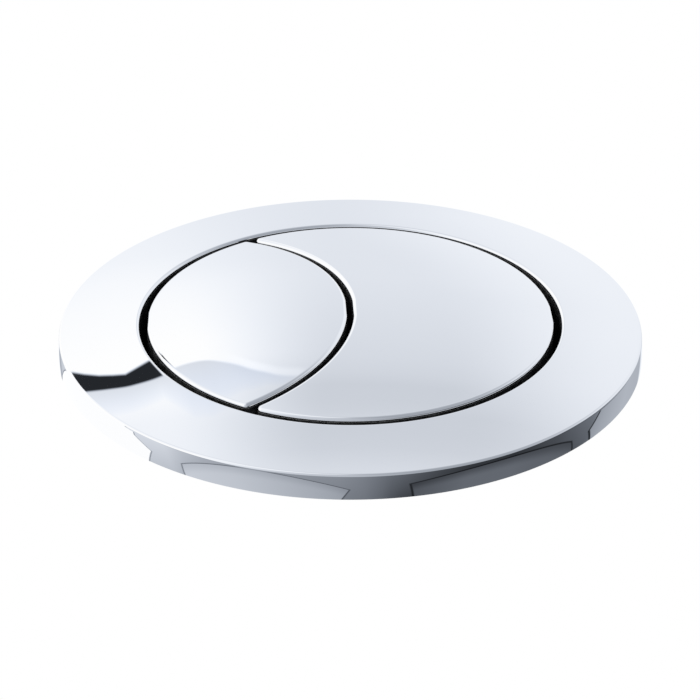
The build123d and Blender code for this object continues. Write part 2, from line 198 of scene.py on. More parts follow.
# What the chrome mirrors: linear greys by direction in degrees, as (direction, grey)
STUDIO_STRENGTH = 1.05
TINT_RED = 0.036  # taken off red, as TINT_BLUE is added to blue, except in the darkest and lightest greys
TINT_BLUE = 0.066
TINT_RISE = 3.0
TINT_FALL = 14.0
WALL_MIDDLE = (
    (12, 0.78), (23, 0.775), (27, 0.752), (33, 0.712), (35, 0.695), (37, 0.665), (38.6, 0.625),
    (40.5, 0.628), (42, 0.645), (44, 0.71),
)
WALL_LEFT = (
    (14, 0.88), (19, 0.905), (22, 0.947), (25, 0.969), (31, 0.995), (34, 0.995), (36, 0.945),
    (38, 0.905), (44, 0.87),
)
WALL_LEFT_EDGE = (-0.3, -9.8)
WALL_LEFT_TURN = 1.2  # how far that edge turns to the left between two elevations
WALL_LEFT_TURN_EL = (34.0, 40.0)
WALL_RIGHT = ((14, 0.888), (24, 0.872), (28, 0.867), (34, 0.838), (37, 0.8), (40, 0.74), (44, 0.72))
WALL_RIGHT_EDGE = ((15, 3.3), (25, 8.4), (37, 10.8))
WALL_RIGHT_SOFT = 4.2
WALL_SIDE = (21.0, 15.0)  # where the wall fades in from its sides, its foot and its top
WALL_FOOT = (8.0, 12.0)
WALL_TOP = (54.0, 44.0)
OVERHEAD = (
    (-180, 0.58), (-150, 0.76), (-120, 0.88), (-75, 0.92), (-50, 0.81), (-33, 0.64), (0, 0.5),
    (33, 0.36), (90, 0.38), (140, 0.45), (180, 0.58),
)
OVERHEAD_EL = (25.0, 60.0)
HORIZON = (
    (-180, 0.9), (-150, 1.0), (-60, 1.0), (-50, 0.9), (-33, 0.64), (-15, 0.55), (0, 0.51),
    (15, 0.42), (33, 0.37), (60, 0.37), (75, 0.42), (90, 0.55), (110, 0.78), (180, 0.9),
)
HORIZON_EL = (
    (-180, -25), (-145, -25), (-125, 5), (10, 5), (35, 13), (95, 13), (112, 5), (140, -22),
    (180, -22),
)  # where it starts
HORIZON_SOFT = 9.0
LOW_ROOM = (
    (-180, 0.95), (-166, 0.92), (-163.5, 0.3), (-160, 0.45), (-154, 0.6), (-95, 0.66), (-74, 0.6),
    (-66, 0.47), (-57, 0.375), (-45, 0.31), (-15, 0.245), (-4, 0.225), (5, 0.185), (15, 0.118),
    (25, 0.078), (35, 0.05), (45, 0.034), (65, 0.03), (85, 0.07), (95, 0.11), (105, 0.155),
    (115, 0.25), (180, 0.4),
)
LOW_ROOM_EL = (-35.0, -21.0)
LOW_ROOM_FOOT = ((-10, 0.86), (0, 0.95), (6, 0.98), (12, 0.93), (20, 0.65), (108, 0.62), (125, 0.86))
LOW_ROOM_TOP = 1.12  # share of its grey there, as LOW_ROOM_FOOT is at its foot

# Tall panels in the low room. A side is its corner's azimuth and elevation, with its lean below and above
# the corner. An arch is its middle, half its width, its peak and its drop. An edge is the width of the
# dark line round a panel, and the share of the room's grey in it.
GREY_EDGE = (0.5, 0.42)
DARK_EDGE = (0.7, 0.25)
BLACK_EDGE = (1.1, 0.12)
EDGE_OUTSIDE = (-1.6, -0.8)  # how the line fades on both sides, in its widths
EDGE_INSIDE = (-0.3, 0.5)
TOP_EDGE = 0.8  # width of the line on top, as a share of its width at the sides
TOP_SHADE_EL = 6.0  # how far down the shade at a panel's top reaches
WHITE_PANEL = dict(
    left=(-154.3, -28.4, 6.1, 4.45),
    right=(-82.7, -28.2, 0.81, -1.79),
    core=(-145.0, -90.0),
    tone=0.985,
    edge=GREY_EDGE,
)
LEFT_PANEL = dict(
    left=(-67.8, -28.7, 0.18, 0.18),
    right=(-0.2, -28.3, 0.44, 0.44),
    arch=(-34.5, 34.0, -20.9, 8.2),
    tone=((-66, 0.6), (-45, 0.55), (-35, 0.505), (-25, 0.457), (-15, 0.41), (-7, 0.37), (-1, 0.33)),
    edge=GREY_EDGE,
    shade=0.84,
)
RIGHT_PANEL = dict(
    left=(23.3, -28.1, -0.26, -0.26),
    right=(94.5, -28.5, -0.8, -0.8),
    arch=(55.2, 35.5, -23.05, 4.9),
    tone=((24, 0.09), (35, 0.113), (45, 0.137), (65, 0.137), (75, 0.126), (92, 0.122)),
    edge=DARK_EDGE,
    shade=0.55,
)
THIRD_PANEL = dict(
    left=(106.5, -28.8, -1.0, 1.0),
    tone=((106, 0.3), (115, 0.37), (125, 0.42), (135, 0.455), (158, 0.43), (163, 0.86), (180, 0.9)),
    edge=BLACK_EDGE,
)

# Card that hangs in the studio and is seen only in the chrome: a painted reflection of a grey wave with a
# dark stripe under its line and a glint, by height over X in millimetres. The domes mirror it upside down.
REFLECTION_CARD_Y = 12.0
REFLECTION_CARD_BOX = ((-41.0, 15.0), (-6.0, 34.0))
STRIPE_FOOT = ((-40, 18.6), (-38.5, 19.4), (-36.5, 20.2), (-34.5, 20.6), (-32.7, 20.82), (-26, 17.1))
STRIPE_FOOT_SOFT = 0.4
STRIPE_TOP_SOFT = 0.35
STRIPE_END = (-28.6, 19.0)
STRIPE_END_SOFT = 0.2
STRIPE_LEAN = 0.4
STRIPE_PASS = 0.02
WAVE_LINE = (
    (-40, 23.25), (-36, 23.57), (-32, 23.5), (-28, 22.5), (-24, 21.3), (-20, 21.65), (-16, 23.8),
    (-12, 26.0), (-8, 27.0),
)
WAVE_PASS = ((-40, 0.74), (-26, 0.75), (-22, 0.72), (-17, 0.775), (-13, 0.86), (-8, 0.97), (-6, 1.0))
WAVE_FADE = (
    (-40, 7.2), (-33, 6.3), (-28, 5.2), (-24, 12.0), (-21, 12.0), (-17, 7.2), (-13, 3.6), (-9, 2.2),
)
WAVE_SOFT = ((-26, 0.35), (-22, 0.35), (-10, 0.75))
GLINT = 0.085
GLINT_FOOT = (-2.8, -1.2)  # where the glint under the wave's line fades in and out
GLINT_TOP = (0.5, -0.6)
GLINT_START = (-19.5, -14.0)
GLINT_END = (-6.0, -8.0)


def sag(dome_r, r):
    """Drop of a dome below its apex, at radius r."""
    return dome_r - math.sqrt(dome_r**2 - r**2)


def bezel_z(r):
    return RIM_Z + sag(BEZEL_DOME_R, BEZEL_R) - sag(BEZEL_DOME_R, r)


FLANGE_TOP_Z = GASKET_THICKNESS + FLANGE_THICKNESS
RIM_Z = FLANGE_TOP_Z + BEZEL_ROOF
OPENING_R = BEZEL_R - BEZEL_BAND
BUTTON_R = OPENING_R - BUTTON_GAP
LIP_R = OPENING_R + LIP_WALL
COUNTERBORE_R = LIP_R + LIP_CLEARANCE
BARREL_R = COUNTERBORE_R + NECK_WALL
THREAD_ROOT_R = BARREL_R - THREAD_DEPTH
FLANGE_R = BEZEL_R - BEZEL_WALL - FLANGE_GAP
WALL_MIDDLE_R = (OPENING_R + THREAD_ROOT_R) / 2
LEDGE_R = OPENING_R - LEDGE_WIDTH
SNAP_BOTTOM_Z = SNAP_FOOT - LIP_DEPTH
SNAP_TOP_Z = SNAP_BOTTOM_Z + SNAP_HEIGHT
BUTTON_CENTRE = Vector((0, 0, bezel_z(OPENING_R) + sag(BUTTON_DOME_R, OPENING_R) - BUTTON_DOME_R))
SEAT_Z = bezel_z(OPENING_R) - SEAT_DROP
PLATE_BOTTOM_Z = SEAT_Z - PLATE_THICKNESS
SKIRT_BOTTOM_Z = PLATE_BOTTOM_Z - SKIRT_OVERHANG
FLOOR_TOP_Z = PLATE_BOTTOM_Z - BUTTON_TRAVEL - SPRING_PRESSED
FLOOR_BOTTOM_Z = FLOOR_TOP_Z - FLOOR_THICKNESS
STEM_BOTTOM_Z = FLOOR_BOTTOM_Z - GUIDE_DEPTH - STEM_BELOW_GUIDE
ROD_TOP_Z = STEM_BOTTOM_Z + ROD_GRIP
ROD_BOTTOM_Z = STEM_BOTTOM_Z - ROD_FREE_LENGTH
GASKET_R = BARREL_R + GASKET_CLEARANCE
NUT_BORE_R = BARREL_R + NUT_CLEARANCE
CLAMP_WASHER_R = NUT_BORE_R + CLAMP_WASHER_WIDTH
NUT_TOP_Z = -LID_THICKNESS - CLAMP_WASHER_THICKNESS
NUT_BOTTOM_Z = NUT_TOP_Z - NUT_HEIGHT
FLAT = Vector((0, 0, 0))  # leaves a corner's normal to the mesh
UP = Vector((0, 0, 1))
DOWN = Vector((0, 0, -1))
AXIS = Vector((0, 0))  # in a plan


def new_object(name, points, faces, material):
    """An object with a mesh of one material."""
    mesh = bpy.data.meshes.new(name)
    mesh.from_pydata([p * MM for p in points], [], faces)
    mesh.materials.append(material)
    made = bpy.data.objects.new(name, mesh)
    bpy.context.scene.collection.objects.link(made)
    return made


class Shell:
    """A mesh in the making: points, faces, and a normal for each corner of each face."""

    def __init__(self):
        self.points, self.faces, self.normals = [], [], []

    def row(self, points):
        """Adds points and gives back their numbers."""
        first = len(self.points)
        self.points += points
        return list(range(first, len(self.points)))

    def face(self, corners, normals):
        self.faces.append(corners)
        self.normals += normals

    def flat_face(self, corners):
        a, b, c = (self.points[corners[k]] for k in (0, 1, 2))
        normal = (b - a).cross(c - a).normalized()
        self.face(corners, [normal] * len(corners))

    def strip(self, low, high, normals=FLAT, high_normals=None, skip=()):
        """Quads between two closed rows that run the same way.

        normals is one for all or a list with one for each column, and the high row may have its own.
        """
        count = len(low)
        below = normals if isinstance(normals, list) else [normals] * count
        above = high_normals or below
        for k in range(count):
            if k not in skip:
                n = (k + 1) % count
                self.face([low[k], low[n], high[n], high[k]], [below[k], below[n], above[n], above[k]])

    def piece(self, name, finish, body, *nodes):
        """Makes the mesh an object that stands for CAD nodes and rides on a body."""
        made = new_object(name, self.points, self.faces, finish["material"])
        made.data.shade_smooth()
        made.data.normals_split_custom_set([tuple(n) for n in self.normals])
        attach(made, body)
        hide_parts(*nodes)
        return made


def polar(angle, r, z=0.0):
    """A point at an angle in degrees about the Z axis."""
    a = math.radians(angle)
    return Vector((r * math.cos(a), r * math.sin(a), z))


def circle(r, z, steps):
    return [polar(360 * k / steps, r, z) for k in range(steps)]


def heading(start, end):
    """Direction in degrees from one profile point to another."""
    return math.degrees(math.atan2(end.y - start.y, end.x - start.x))


def circle_through(a, b, c):
    """Centre and radius of the circle through three points."""
    u, v = b - a, c - a
    d = 2 * (u.x * v.y - u.y * v.x)
    x = (v.y * u.length_squared - u.y * v.length_squared) / d
    y = (u.x * v.length_squared - v.x * u.length_squared) / d
    return a + Vector((x, y)), math.hypot(x, y)


def circles_cross(centre_a, r_a, centre_b, r_b, side):
    """Where two circles cross, to the left (1) or right (-1) of the way from a to b."""
    way = centre_b - centre_a
    along = (r_a**2 - r_b**2 + way.length_squared) / (2 * way.length)
    across = math.sqrt(r_a**2 - along**2)
    unit = way.normalized()
    return centre_a + unit * along + Vector((-unit.y, unit.x)) * across * side


def straight(*corners):
    """Straight runs of a profile of (radius, height), with the outside on the right of the way."""
    runs = []
    for start, end in zip(corners, corners[1:]):
        start, end = Vector(start), Vector(end)
        along = (end - start).normalized()
        out = Vector((along.y, -along.x))
        runs.append([(start, out), (end, out)])
    return runs


def arc(centre, r, start, end, steps=ROUND_STEPS):
    """A round run of a profile between two directions in degrees."""
    run = []
    for k in range(steps + 1):
        out = polar(start + (end - start) * k / steps, 1).xy
        run.append((Vector(centre) + out * r, out if end > start else -out))
    return run


def turn(shell, runs, steps=TURN_STEPS, skip=None, closed=True):
    """Turns a profile about the Z axis and gives back the first row of each run, and the end row.

    skip holds the columns of a run, by its number, whose faces are left out.
    """
    rows = [[shell.row(circle(p.x, p.y, steps)) for p, _ in run[:-1]] for run in runs]
    last = runs[-1][-1][0]
    end = rows[0][0] if closed else shell.row(circle(last.x, last.y, steps))
    firsts = [row[0] for row in rows]
    for number, run in enumerate(runs):
        ends = rows[number] + [(firsts + [end])[number + 1]]
        around = [circle(n.x, n.y, steps) for _, n in run]
        left_out = (skip or {}).get(number, ())
        for k in range(len(run) - 1):
            shell.strip(ends[k], ends[k + 1], around[k], around[k + 1], left_out)
    return firsts, end


def loft(shell, rows):
    """A closed block through rows of points; the first row faces out, away from the others."""
    for near, far in zip(rows, rows[1:]):
        for k in range(len(near)):
            n = (k + 1) % len(near)
            shell.flat_face([near[k], far[k], far[n], near[n]])
    shell.flat_face(rows[0])
    shell.flat_face(rows[-1][::-1])


def reveal(shell, outside, inside):
    """The sides of a window, between the rows round it on the outside and the inside."""
    for k in range(len(outside)):
        n = (k + 1) % len(outside)
        shell.flat_face([outside[k], outside[n], inside[n], inside[k]])


def wedge(shell, profile, middle, width):
    """A profile of (radius, height) turned through a few degrees, as a closed block."""
    angles = [middle - width / 2 + width * k / ROUND_STEPS for k in range(ROUND_STEPS + 1)]
    loft(shell, [shell.row([polar(a, r, z) for r, z in profile]) for a in angles])


# Materials

class Graph:
    """Short ways to add shader nodes and link them."""

    def __init__(self, tree):
        self.tree = tree

    def add(self, kind, *inputs, **settings):
        node = self.tree.nodes.new(kind)
        for name, value in settings.items():
            setattr(node, name, value)
        for socket, value in zip(node.inputs, inputs):
            self.put(socket, value)
        return node

    def put(self, socket, value):
        """Links an output to a socket, or sets the socket to a number or colour."""
        if isinstance(value, bpy.types.NodeSocket):
            self.tree.links.new(value, socket)
        elif value is not None:
            socket.default_value = value

    def math(self, operation, *inputs):
        return self.add("ShaderNodeMath", *inputs, operation=operation).outputs[0]

    def times(self, first, *others):
        for other in others:
            first = self.math("MULTIPLY", first, other)
        return first

    def less(self, value, other):
        return self.math("SUBTRACT", value, other)

    def span(self, value, low, high, to_low=0.0, to_high=1.0, kind="SMOOTHSTEP"):
        """Maps a value's span to another, held at both ends."""
        node = self.add("ShaderNodeMapRange", value, low, high, to_low, to_high, interpolation_type=kind)
        return node.outputs[0]

    def blend(self, share, a, b):
        """A number between two others."""
        node = self.add("ShaderNodeMix", share)
        self.put(node.inputs[2], a)
        self.put(node.inputs[3], b)
        return node.outputs[0]

    def ramp(self, value, stops, curve="LINEAR"):
        """A number that follows stops of (value, number)."""
        start, end = stops[0][0], stops[-1][0]
        low = min(0, *(level for _, level in stops))
        high = max(level for _, level in stops)
        share = self.span(value, start, end, kind="LINEAR")
        node = self.add("ShaderNodeValToRGB", share)
        node.color_ramp.interpolation = curve
        elements = node.color_ramp.elements
        while len(elements) < len(stops):
            elements.new(0.5)
        for element, (place, level) in zip(elements, stops):
            element.position = (place - start) / (end - start)
            grey = (level - low) / (high - low)
            element.color = (grey, grey, grey, 1)
        return self.math("MULTIPLY_ADD", node.outputs[0], high - low, low)


def new_material(name):
    """A Principled material, with its graph, its shader's sockets and the coordinates of the part."""
    material = bpy.data.materials.new(name)
    material.use_nodes = True
    graph = Graph(material.node_tree)
    place = graph.add("ShaderNodeTexCoord").outputs["Object"]
    return material, graph, material.node_tree.nodes["Principled BSDF"].inputs, place


def noise(graph, place, size, detail=2.0):
    """Noise with features of a size in millimetres."""
    node = graph.add("ShaderNodeTexNoise")
    graph.put(node.inputs["Vector"], place)
    node.inputs["Scale"].default_value = 1 / (size * MM)
    node.inputs["Detail"].default_value = detail
    return node.outputs["Fac"]


def chrome():
    """Bright chrome, which gives way to a dull dark grey down in the gaps round the buttons: painted
    shade.
    """
    material, graph, sockets, place = new_material("polished_chrome")
    metres = graph.add("ShaderNodeSeparateXYZ", place).outputs
    x, y, z = (graph.math("DIVIDE", part, MM) for part in metres)
    square = graph.math("ADD", graph.times(x, x), graph.times(y, y))
    r = graph.math("SQRT", square)
    fall = graph.math("DIVIDE", square, 2 * BUTTON_DOME_R)
    dome = graph.less(BUTTON_CENTRE.z + BUTTON_DOME_R, fall)
    depth = graph.less(graph.less(dome, z), BUTTON_ROUND)
    near = graph.span(r, *(OPENING_R + reach for reach in GAP_SHADE_REACH))
    # Painted shade: deep in the gaps round the buttons the chrome turns to a dull dark grey
    gap_shade = graph.times(graph.span(depth, 0.0, GAP_SHADE_FADE), near)
    gloss = graph.span(noise(graph, place, *HAZE), *HAZE_SPAN, *CHROME_ROUGH)
    shade_grey = graph.span(noise(graph, place, *GAP_SHADE_GRAIN), *GAP_SHADE_SPAN, *GAP_SHADE_GREY)
    level = graph.blend(gap_shade, CHROME_GREY, shade_grey)
    graph.put(sockets["Base Color"], graph.add("ShaderNodeCombineColor", level, level, level).outputs[0])
    graph.put(sockets["Roughness"], graph.blend(gap_shade, gloss, GAP_SHADE_ROUGH))
    graph.put(sockets["Metallic"], graph.less(1.0, gap_shade))
    return {"material": material, "slot": "chrome"}


def plain(name, slot, cloud, grain, colours, rough, depth, strength, rough_by="cloud", **others):
    """A material whose colour wanders in clouds, with a fine grain in its surface.

    cloud is (size, detail) and grain a size; colours and rough each go from one end to the other, rough
    with the cloud or the grain; depth and strength are those of the grain; others are plain sockets.
    """
    material, graph, sockets, place = new_material(name)
    waves = {"cloud": noise(graph, place, *cloud), "grain": noise(graph, place, grain)}
    mix = graph.add("ShaderNodeMix", waves["cloud"], data_type="RGBA")
    for socket, colour in zip(mix.inputs[6:8], colours):
        socket.default_value = (*colour, 1)
    graph.put(sockets["Base Color"], mix.outputs[2])
    graph.put(sockets["Roughness"], graph.span(waves[rough_by], *NOISE_SPAN, *rough))
    bump = graph.add("ShaderNodeBump")
    bump.inputs["Strength"].default_value = strength
    bump.inputs["Distance"].default_value = depth * MM
    graph.put(bump.inputs["Height"], waves["grain"])
    graph.put(sockets["Normal"], bump.outputs["Normal"])
    for socket, value in others.items():
        sockets[socket.replace("_", " ").title()].default_value = value
    return {"material": material, "slot": slot}


CHROME = chrome()
BLACK = plain(
    "black_moulding", "black_plastic", cloud=(6.0, 3.0), grain=0.16,
    colours=((0.008, 0.008, 0.009), (0.022, 0.022, 0.024)),
    rough=(0.36, 0.55), rough_by="grain", depth=0.03, strength=0.35,
)
WHITE = plain(
    "white_moulding", "white_plastic", cloud=(8.0, 3.0), grain=0.3,
    colours=((0.74, 0.74, 0.71), (0.83, 0.83, 0.81)),
    rough=(0.34, 0.46), depth=0.02, strength=0.12, subsurface_weight=0.15, subsurface_scale=0.6 * MM,
)
RUBBER = plain(
    "black_rubber", "rubber", cloud=(3.0, 5.0), grain=0.1,
    colours=((0.018, 0.018, 0.018), (0.05, 0.05, 0.048)),
    rough=(0.62, 0.85), depth=0.02, strength=0.4,
)
STEEL = plain(
    "zinc_plated_steel", "steel", cloud=(1.2, 3.0), grain=0.08,
    colours=((0.5, 0.51, 0.53), (0.68, 0.68, 0.67)),
    rough=(0.2, 0.36), depth=0.01, strength=0.15, metallic=1.0,
)


# Bezel

def make_bezel():
    """The domed ring, with true normals all over its polished outside."""
    foot = Vector((BEZEL_R, 0))
    rim_r = BEZEL_R - RIM_Z * math.tan(math.radians(BEZEL_DRAFT))
    rim = Vector((rim_r, bezel_z(rim_r)))
    crown = (foot + rim) / 2 + Vector((BEZEL_CROWN, 0))
    wall_centre, wall_r = circle_through(foot, crown, rim)
    dome_centre = Vector((0, bezel_z(0) - BEZEL_DOME_R))
    rim_centre = circles_cross(
        wall_centre, wall_r - BEZEL_RIM_ROUND, dome_centre, BEZEL_DOME_R - BEZEL_RIM_ROUND, 1
    )
    mouth_r = OPENING_R + OPENING_ROUND
    mouth_rise = math.sqrt((BEZEL_DOME_R - OPENING_ROUND) ** 2 - mouth_r**2)
    mouth_centre = dome_centre + Vector((mouth_r, mouth_rise))
    wall_top = heading(wall_centre, rim_centre)
    dome_start = heading(dome_centre, rim_centre)
    dome_end = heading(dome_centre, mouth_centre)
    inner_r = BEZEL_R - BEZEL_WALL
    runs = [
        arc(wall_centre, wall_r, heading(wall_centre, foot), wall_top, 2 * ROUND_STEPS),
        arc(rim_centre, BEZEL_RIM_ROUND, wall_top, dome_start, 2 * ROUND_STEPS),
        arc(dome_centre, BEZEL_DOME_R, dome_start, dome_end, DOME_STEPS),
        arc(mouth_centre, OPENING_ROUND, dome_end, 180, 2 * ROUND_STEPS),
        *straight(
            (OPENING_R, mouth_centre.y),
            (OPENING_R, -LIP_DEPTH),
            (LIP_R, -LIP_DEPTH),
            (LIP_R, FLANGE_TOP_Z),
            (inner_r, FLANGE_TOP_Z),
            (inner_r, 0),
            (BEZEL_R, 0),
        ),
    ]
    shell = Shell()
    turn(shell, runs)
    lug_r = (OPENING_R + LIP_R) / 2
    lug = [(lug_r, SNAP_BOTTOM_Z), (LIP_R, SNAP_BOTTOM_Z)]
    lug += [(LIP_R + SNAP_REACH, SNAP_TOP_Z), (lug_r, SNAP_TOP_Z)]
    for angle in SNAP_ANGLES:
        wedge(shell, lug, angle, SNAP_ARC)
    shell.piece("bezel_ring", CHROME, "housing_unit", "bezel")


# Button caps

class Outline:
    """Plan of a button: two arcs that meet in rounded tips.

    The outer arc follows the round opening and the parting arc the gap between the buttons. The lens
    (side -1) lies inside the parting circle and the crescent (side 1) outside it.
    """

    ARC_STEPS = 64
    TIP_STEPS = 10

    def __init__(self, side, inset, tip_r):
        self.outer_r = BUTTON_R - inset
        self.split_centre = Vector((-SPLIT_R, 0))
        self.split_r = SPLIT_R + side * (SPLIT_GAP / 2 + inset)
        self.side = side
        self.tip_r = tip_r
        reach = self.split_r + side * tip_r
        self.tip = circles_cross(AXIS, self.outer_r - tip_r, self.split_centre, reach, -1)

    def points(self):
        """Points and outward normals, anticlockwise from the lower tip's end of the outer arc."""
        outer_end = heading(AXIS, self.tip)
        split_end = heading(self.split_centre, self.tip)
        if self.side < 0:
            outer = self.span(AXIS, self.outer_r, outer_end, 360 - outer_end)
            split = self.span(self.split_centre, self.split_r, -split_end, split_end)
            first_tip = self.corner(-1, -outer_end, -split_end)
            last_tip = self.corner(1, split_end, outer_end)
        else:
            outer = self.span(AXIS, self.outer_r, -outer_end, outer_end)
            split = self.span(self.split_centre, self.split_r, split_end, -split_end)
            first_tip = self.corner(1, outer_end, 180 + split_end)
            last_tip = self.corner(-1, 180 - split_end, 360 - outer_end)
        return outer + first_tip + split + last_tip

    def span(self, centre, r, start, end):
        """An arc's points, with two at the edges of the catch window in its middle."""
        half = math.degrees(math.asin(CATCH_WINDOW_WIDTH / 2 / r)) * (1 if end > start else -1)
        middle = (start + end) / 2
        steps = self.ARC_STEPS // 2
        return arc(centre, r, start, middle - half, steps) + arc(centre, r, middle + half, end, steps)

    def corner(self, level, start, end):
        """A tip's points between its two arcs, at the upper (1) or lower (-1) tip."""
        centre = Vector((self.tip.x, self.tip.y * level))
        return arc(centre, self.tip_r, start, start + (end - start) % 360, self.TIP_STEPS)[1:-1]

    def windows(self):
        """Columns of the two catch windows."""
        half = self.ARC_STEPS // 2
        return [half, 2 * half + self.TIP_STEPS + half]


def dome_z(p, dome_r):
    """Height above a plan point on a sphere about the buttons' dome centre."""
    return BUTTON_CENTRE.z + math.sqrt(dome_r**2 - p.x**2 - p.y**2)


def dome_cover(shell, rim, plan, dome_r, up):
    """Fills a closed row on a dome with a fine net of triangles."""
    edges = [(k, (k + 1) % len(plan)) for k in range(len(plan))]
    reach = int(BUTTON_R / DOME_GRID) + 1
    grid = range(-reach, reach + 1)
    inner = [Vector((x * DOME_GRID, y * DOME_GRID)) for x in grid for y in grid]
    points, _, faces, origins, _, _ = delaunay_2d_cdt(list(plan) + inner, edges, [], 1, DOME_MERGE)
    numbers = {}
    for k in {k for face in faces for k in face}:
        if origins[k] and origins[k][0] < len(plan):
            numbers[k] = rim[origins[k][0]]
        else:
            numbers[k] = shell.row([Vector((*points[k], dome_z(points[k], dome_r)))])[0]
    for face in faces:
        corners = [numbers[k] for k in face]
        normals = [(shell.points[c] - BUTTON_CENTRE).normalized() * up for c in corners]
        a, b, c = (shell.points[corners[k]] for k in (0, 1, 2))
        if (b - a).cross(c - a).z * up < 0:
            corners.reverse()
            normals.reverse()
        shell.face(corners, normals)


def raised(shell, plan, z):
    """A row of a plan's points at a height."""
    return shell.row([Vector((*p, z)) for p, _ in plan])


def make_cap(button, side, tip_r):
    """A domed cap with a rounded edge, a stepped skirt and two catch windows."""
    shell = Shell()
    outside = Outline(side, 0, tip_r)
    plan = outside.points()
    out = [Vector((*n, 0)) for _, n in plan]
    inset = [p - n * BUTTON_ROUND for p, n in plan]
    balls = [Vector((*p, dome_z(p, BUTTON_DOME_R - BUTTON_ROUND))) for p in inset]
    tops = [(ball - BUTTON_CENTRE).normalized() for ball in balls]
    rows, normals = [], []
    for k in range(2 * ROUND_STEPS + 1):
        share = k / (2 * ROUND_STEPS) * math.pi / 2
        lean = [(t * math.cos(share) + o * math.sin(share)).normalized() for t, o in zip(tops, out)]
        rows.append(shell.row([ball + n * BUTTON_ROUND for ball, n in zip(balls, lean)]))
        normals.append(lean)
    dome_cover(shell, rows[0], [shell.points[k].xy for k in rows[0]], BUTTON_DOME_R, 1)
    for k in range(len(rows) - 1):
        shell.strip(rows[k + 1], rows[k], normals[k + 1], normals[k])

    window_z = (SEAT_Z + PLATE_BOTTOM_Z) / 2
    heights = (window_z + CATCH_WINDOW_HEIGHT / 2, window_z - CATCH_WINDOW_HEIGHT / 2, SKIRT_BOTTOM_Z)
    outer = [rows[-1]] + [raised(shell, plan, z) for z in heights]
    skirt_plan = Outline(side, SKIRT_WALL, INNER_TIP_R).points()
    skirt_in = [Vector((*-n, 0)) for _, n in skirt_plan]
    inner = [raised(shell, skirt_plan, z) for z in (SEAT_Z, *heights)]
    columns = outside.windows()
    for k in range(3):
        skip = columns if k == 1 else ()
        shell.strip(outer[k + 1], outer[k], out, skip=skip)
        shell.strip(inner[k], inner[k + 1], skirt_in, skip=skip)
    for k in columns:
        reveal(shell, *([r[2][k], r[2][k + 1], r[1][k + 1], r[1][k]] for r in (outer, inner)))
    shell.strip(inner[3], outer[3], DOWN)

    room_plan = Outline(side, CAP_WALL, INNER_TIP_R).points()
    room_in = [Vector((*-n, 0)) for _, n in room_plan]
    ceiling_r = BUTTON_DOME_R - CAP_ROOF
    seat = raised(shell, room_plan, SEAT_Z)
    ceiling = shell.row([Vector((*p, dome_z(p, ceiling_r))) for p, _ in room_plan])
    shell.strip(seat, inner[0], DOWN)
    shell.strip(ceiling, seat, room_in)
    dome_cover(shell, ceiling, [p for p, _ in room_plan], ceiling_r, -1)
    shell.piece(f"{button}_dome", CHROME, f"{button}_button", f"{button}_cap")


# Housing, nut and rods

def thread_notch(share):
    """Depth of a rounded thread groove along one pitch, from 0 on the crest to 1 at the root."""
    wave = 0.5 - 0.5 * math.cos(2 * math.pi * share)
    return smooth((wave - THREAD_CREST) / (1 - 2 * THREAD_CREST))


def smooth(share):
    """An even step from 0 to 1."""
    share = min(max(share, 0), 1)
    return share * share * (3 - 2 * share)


def threaded(shell, start, end, depth, pitch, angles, rows_per_pitch):
    """A right-hand thread between two rows of points, which it fades into, travelling as a profile does.

    depth is taken off the radius, or added to it where it is negative.
    """
    first, last = shell.points[start[0]], shell.points[end[0]]
    crest_r = first.xy.length
    rise = last.z - first.z
    count = round(abs(rise) / pitch * rows_per_pitch)
    rows = [start]
    for k in range(1, count):
        z = first.z + rise * k / count
        full = depth * min(1, abs(z - first.z) / pitch, abs(last.z - z) / pitch)
        cuts = [full * thread_notch(z / pitch - a / 360) for a in angles]
        rows.append(shell.row([polar(a, crest_r - cut, z) for a, cut in zip(angles, cuts)]))
    rows.append(end)
    for here, there in zip(rows, rows[1:]):
        shell.strip(here, there)


def even_angles(steps):
    return [360 * k / steps for k in range(steps)]


